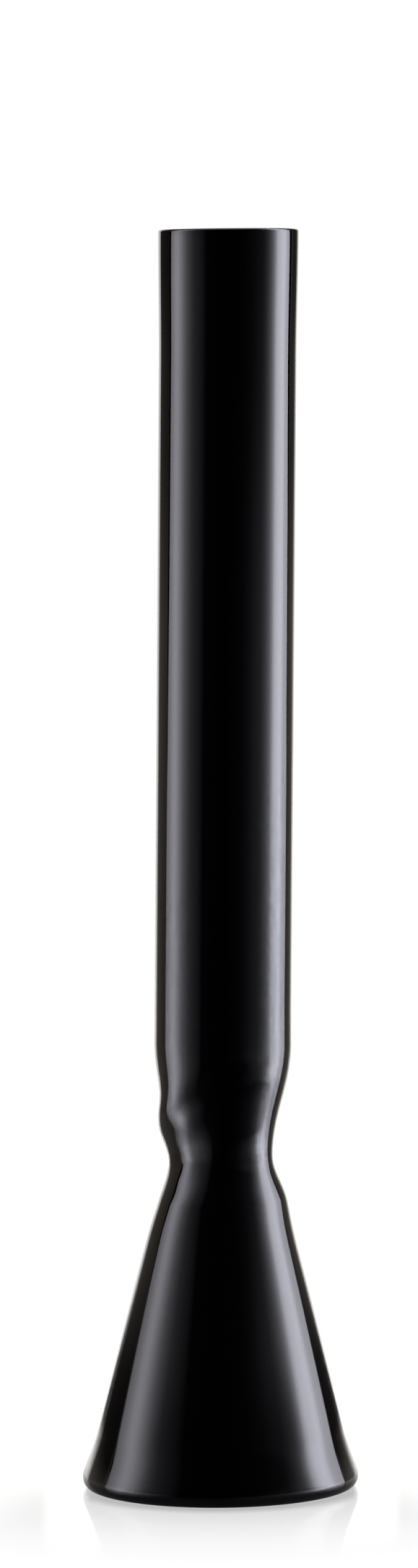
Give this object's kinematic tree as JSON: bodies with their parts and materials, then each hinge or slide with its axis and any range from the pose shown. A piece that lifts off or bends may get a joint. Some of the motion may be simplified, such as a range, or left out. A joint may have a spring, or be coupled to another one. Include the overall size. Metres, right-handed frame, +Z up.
{
  "type": "glass vase",
  "caption": "Tall black glass vase: a straight open tube joined at a hand-pressed, folded waist to a hollow cone-shaped foot with a rounded, slightly flared base.",
  "frame": {"origin": "centre of the round base, on the plane that the vase stands on", "axes": "+Z up along the vase; the folds of the waist face -X; the front, towards the picture's camera, faces -Y"},
  "size_m": [0.132, 0.132, 0.6],
  "materials": {
    "black_glass": "opaque black crystal glass, fire-polished to a mirror gloss, with the standing ring under the base ground matt"
  },
  "bodies": {
    "root": {"tube": "black_glass", "foot": "black_glass"}
  },
  "joints": []
}
